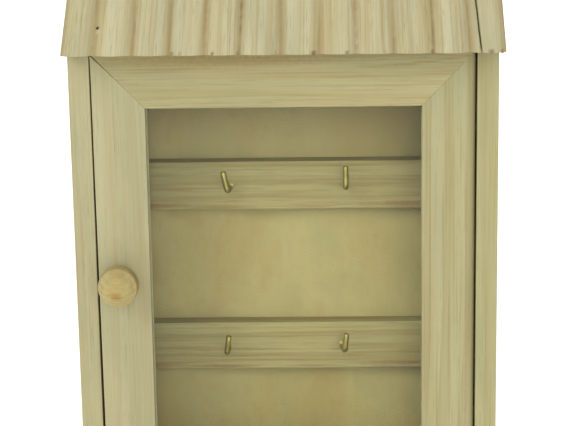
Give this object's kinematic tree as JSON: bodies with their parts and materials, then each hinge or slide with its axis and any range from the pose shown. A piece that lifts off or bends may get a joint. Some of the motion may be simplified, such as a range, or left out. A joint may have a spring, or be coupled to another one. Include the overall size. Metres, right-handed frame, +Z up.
{
  "type": "key cabinet",
  "caption": "Wall-hung wooden key cabinet shaped as a small house, with a carved sloping roof, a glazed mitred door on pivot pins, a turned knob, and brass hooks on key rails.",
  "frame": {"origin": "centre of the underside of the bottom board, midway in the case's depth", "axes": "+X to the right as seen from the front, +Y towards the wall, +Z up; the door faces -Y"},
  "size_m": [0.203, 0.084, 0.2998],
  "materials": {
    "case_wood": "raw sanded paulownia, pale, straight grain",
    "roof_wood": "raw paulownia, carved, sanded",
    "door_wood": "raw sanded paulownia, mitred",
    "bead_wood": "raw sanded paulownia",
    "key_rail_wood": "raw sanded paulownia",
    "back_panel_wood": "raw thin panel, mottled",
    "knob_beech": "turned beech, banded",
    "glass": "clear float glass",
    "hook_brass": "bright brass, lightly tarnished",
    "zinc_plated_steel": "zinc plated",
    "dark_steel": "plain dark steel",
    "pin_steel": "drawn steel",
    "magnet": "nickel plated magnet"
  },
  "bodies": {
    "case": {"left_side_panel": "case_wood", "right_side_panel": "case_wood", "bottom_board": "case_wood", "top_board": "case_wood", "back_panel": "back_panel_wood", "hanging_rail": "case_wood", "roof_board": "roof_wood", "roof_edge_strip": "roof_wood", "roof_nails": "dark_steel", "carcass_nails": "dark_steel", "back_panel_nails": "dark_steel", "upper_key_rail": "key_rail_wood", "lower_key_rail": "key_rail_wood", "rail_screws": "zinc_plated_steel", "hook_upper_left": "hook_brass", "hook_upper_right": "hook_brass", "hook_lower_left": "hook_brass", "hook_lower_right": "hook_brass", "hanger_plate_left": "zinc_plated_steel", "hanger_plate_right": "zinc_plated_steel", "hanger_screws": "zinc_plated_steel", "top_pivot_pin": "pin_steel", "bottom_pivot_pin": "pin_steel", "pivot_washer": "hook_brass", "door_stop_block": "case_wood", "stop_block_screws": "zinc_plated_steel", "catch_magnet": "magnet"},
    "door": {"door_left_stile": "door_wood", "door_right_stile": "door_wood", "door_top_rail": "door_wood", "door_bottom_rail": "door_wood", "mitre_v_nails": "dark_steel", "glass_pane": "glass", "glazing_bead_left": "bead_wood", "glazing_bead_right": "bead_wood", "glazing_bead_top": "bead_wood", "glazing_bead_bottom": "bead_wood", "glazing_pins": "dark_steel", "door_knob": "knob_beech", "knob_screw": "zinc_plated_steel", "strike_plate": "zinc_plated_steel", "strike_screws": "zinc_plated_steel"}
  },
  "joints": [
    {"name": "door_hinge", "type": "hinge", "parent": "case", "child": "door", "pos_m": [0.083, -0.0255, 0.12], "axis": [0, 0, 1], "range_deg": [0, 110]}
  ]
}
